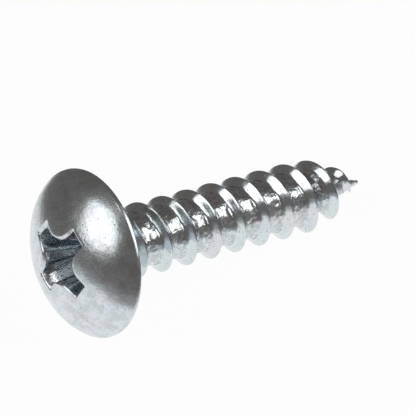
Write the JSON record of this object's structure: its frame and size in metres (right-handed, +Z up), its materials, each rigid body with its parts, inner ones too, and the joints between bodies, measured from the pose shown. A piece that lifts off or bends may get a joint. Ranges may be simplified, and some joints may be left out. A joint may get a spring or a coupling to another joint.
{
  "type": "truss head screw",
  "caption": "Tapping screw with a wide low domed head, a cross recess, a spaced sharp-crested thread and a gimlet point, lying on its rim and thread.",
  "frame": {"origin": "centre of the bearing face under the head, on the screw's axis", "axes": "+X along the screw from the head to the point as seen from above, the axis dips 10.40 degrees below it; +Z up from the floor it lies on"},
  "size_m": [0.021, 0.0094, 0.0094],
  "materials": {
    "zinc_plate": "bright clear zinc plating over rolled steel"
  },
  "bodies": {
    "root": {"truss_head_screw": "zinc_plate"}
  },
  "joints": []
}
